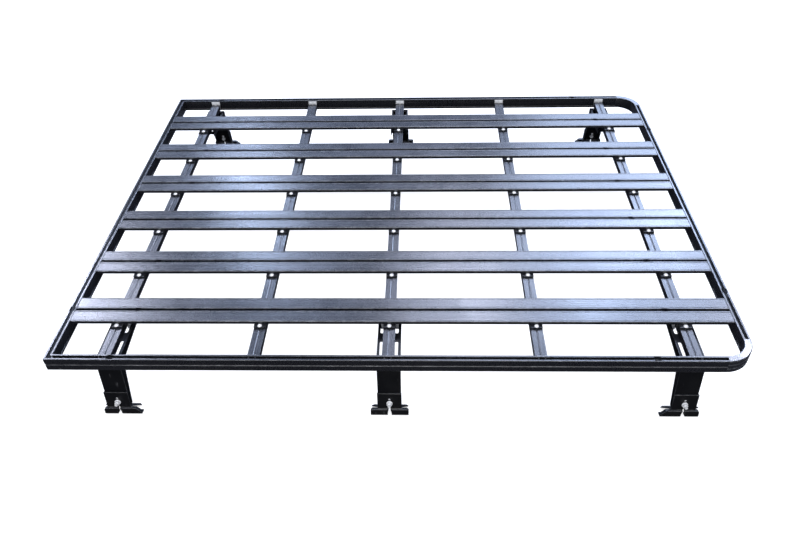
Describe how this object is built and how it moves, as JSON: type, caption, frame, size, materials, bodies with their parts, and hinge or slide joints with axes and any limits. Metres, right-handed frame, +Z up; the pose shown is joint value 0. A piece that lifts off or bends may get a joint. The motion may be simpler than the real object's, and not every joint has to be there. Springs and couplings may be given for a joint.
{
  "type": "roof cargo rack",
  "caption": "Flat black roof rack: slotted slats on crossbars inside a slotted frame with two rounded front corners, carried on folded legs with bolt-up gutter clamps.",
  "frame": {"origin": "on the ground under the middle of the deck, where the feet stand", "axes": "+X to the front of the vehicle, where the frame's corners are round; +Y to its left; +Z up"},
  "size_m": [1.89, 1.4744, 0.225],
  "materials": {
    "rail_black": "satin black anodised extrusion",
    "cast_corner": "gloss black casting",
    "slat_black": "semi-gloss black anodised, drawn along its length",
    "crossbar_black": "semi-gloss black anodised",
    "cleat_black": "satin black powder coat",
    "leg_steel": "satin black powder coat on folded steel",
    "clamp_steel": "satin black powder coat on thick plate",
    "zinc_fastener": "bright zinc plate",
    "zinc_bracket": "bright zinc plate",
    "mill_aluminium": "mill finish"
  },
  "bodies": {
    "rack": {"side_rail_left": "rail_black", "side_rail_right": "rail_black", "front_rail": "rail_black", "rear_rail": "rail_black", "front_corner_left": "cast_corner", "front_corner_right": "cast_corner", "rear_corner_keys": "mill_aluminium", "corner_screws": "zinc_fastener", "slat_1": "slat_black", "slat_2": "slat_black", "slat_3": "slat_black", "slat_4": "slat_black", "slat_5": "slat_black", "slat_6": "slat_black", "crossbar_1": "crossbar_black", "crossbar_2": "crossbar_black", "crossbar_3": "crossbar_black", "crossbar_4": "crossbar_black", "crossbar_5": "crossbar_black", "end_brackets_left": "zinc_bracket", "end_brackets_right": "zinc_bracket", "end_bracket_screws": "zinc_fastener", "slat_cleats_1": "cleat_black", "slat_cleats_2": "cleat_black", "slat_cleats_3": "cleat_black", "slat_cleats_4": "cleat_black", "slat_cleats_5": "cleat_black", "slat_cleat_bolts": "zinc_fastener", "slat_cleat_nuts": "zinc_fastener", "saddle_straps": "cleat_black", "saddle_bolts": "zinc_fastener", "saddle_nuts": "zinc_fastener"},
    "leg_body_rear_left": {"leg_rear_left": "leg_steel", "clamp_bolt_rear_left": "zinc_fastener"},
    "clamp_body_rear_left": {"clamp_rear_left": "clamp_steel", "clamp_nut_rear_left": "zinc_fastener"},
    "leg_body_rear_right": {"leg_rear_right": "leg_steel", "clamp_bolt_rear_right": "zinc_fastener"},
    "clamp_body_rear_right": {"clamp_rear_right": "clamp_steel", "clamp_nut_rear_right": "zinc_fastener"},
    "leg_body_middle_left": {"leg_middle_left": "leg_steel", "clamp_bolt_middle_left": "zinc_fastener"},
    "clamp_body_middle_left": {"clamp_middle_left": "clamp_steel", "clamp_nut_middle_left": "zinc_fastener"},
    "leg_body_middle_right": {"leg_middle_right": "leg_steel", "clamp_bolt_middle_right": "zinc_fastener"},
    "clamp_body_middle_right": {"clamp_middle_right": "clamp_steel", "clamp_nut_middle_right": "zinc_fastener"},
    "leg_body_front_left": {"leg_front_left": "leg_steel", "clamp_bolt_front_left": "zinc_fastener"},
    "clamp_body_front_left": {"clamp_front_left": "clamp_steel", "clamp_nut_front_left": "zinc_fastener"},
    "leg_body_front_right": {"leg_front_right": "leg_steel", "clamp_bolt_front_right": "zinc_fastener"},
    "clamp_body_front_right": {"clamp_front_right": "clamp_steel", "clamp_nut_front_right": "zinc_fastener"}
  },
  "joints": [
    {"name": "leg_slide_rear_left", "type": "slide", "parent": "rack", "child": "leg_body_rear_left", "axis": [0, -1, 0], "range_m": [-0.008, 0.025]},
    {"name": "leg_slide_rear_right", "type": "slide", "parent": "rack", "child": "leg_body_rear_right", "axis": [0, 1, 0], "range_m": [-0.008, 0.025]},
    {"name": "leg_slide_middle_left", "type": "slide", "parent": "rack", "child": "leg_body_middle_left", "axis": [0, -1, 0], "range_m": [-0.008, 0.025]},
    {"name": "leg_slide_middle_right", "type": "slide", "parent": "rack", "child": "leg_body_middle_right", "axis": [0, 1, 0], "range_m": [-0.008, 0.025]},
    {"name": "leg_slide_front_left", "type": "slide", "parent": "rack", "child": "leg_body_front_left", "axis": [0, -1, 0], "range_m": [-0.008, 0.025]},
    {"name": "leg_slide_front_right", "type": "slide", "parent": "rack", "child": "leg_body_front_right", "axis": [0, 1, 0], "range_m": [-0.008, 0.025]},
    {"name": "clamp_open_rear_left", "type": "slide", "parent": "leg_body_rear_left", "child": "clamp_body_rear_left", "axis": [0, 0.9884, 0.1521], "range_m": [0, 0.006]},
    {"name": "clamp_open_rear_right", "type": "slide", "parent": "leg_body_rear_right", "child": "clamp_body_rear_right", "axis": [0, -0.9884, 0.1521], "range_m": [0, 0.006]},
    {"name": "clamp_open_middle_left", "type": "slide", "parent": "leg_body_middle_left", "child": "clamp_body_middle_left", "axis": [0, 0.9884, 0.1521], "range_m": [0, 0.006]},
    {"name": "clamp_open_middle_right", "type": "slide", "parent": "leg_body_middle_right", "child": "clamp_body_middle_right", "axis": [0, -0.9884, 0.1521], "range_m": [0, 0.006]},
    {"name": "clamp_open_front_left", "type": "slide", "parent": "leg_body_front_left", "child": "clamp_body_front_left", "axis": [0, 0.9884, 0.1521], "range_m": [0, 0.006]},
    {"name": "clamp_open_front_right", "type": "slide", "parent": "leg_body_front_right", "child": "clamp_body_front_right", "axis": [0, -0.9884, 0.1521], "range_m": [0, 0.006]}
  ]
}
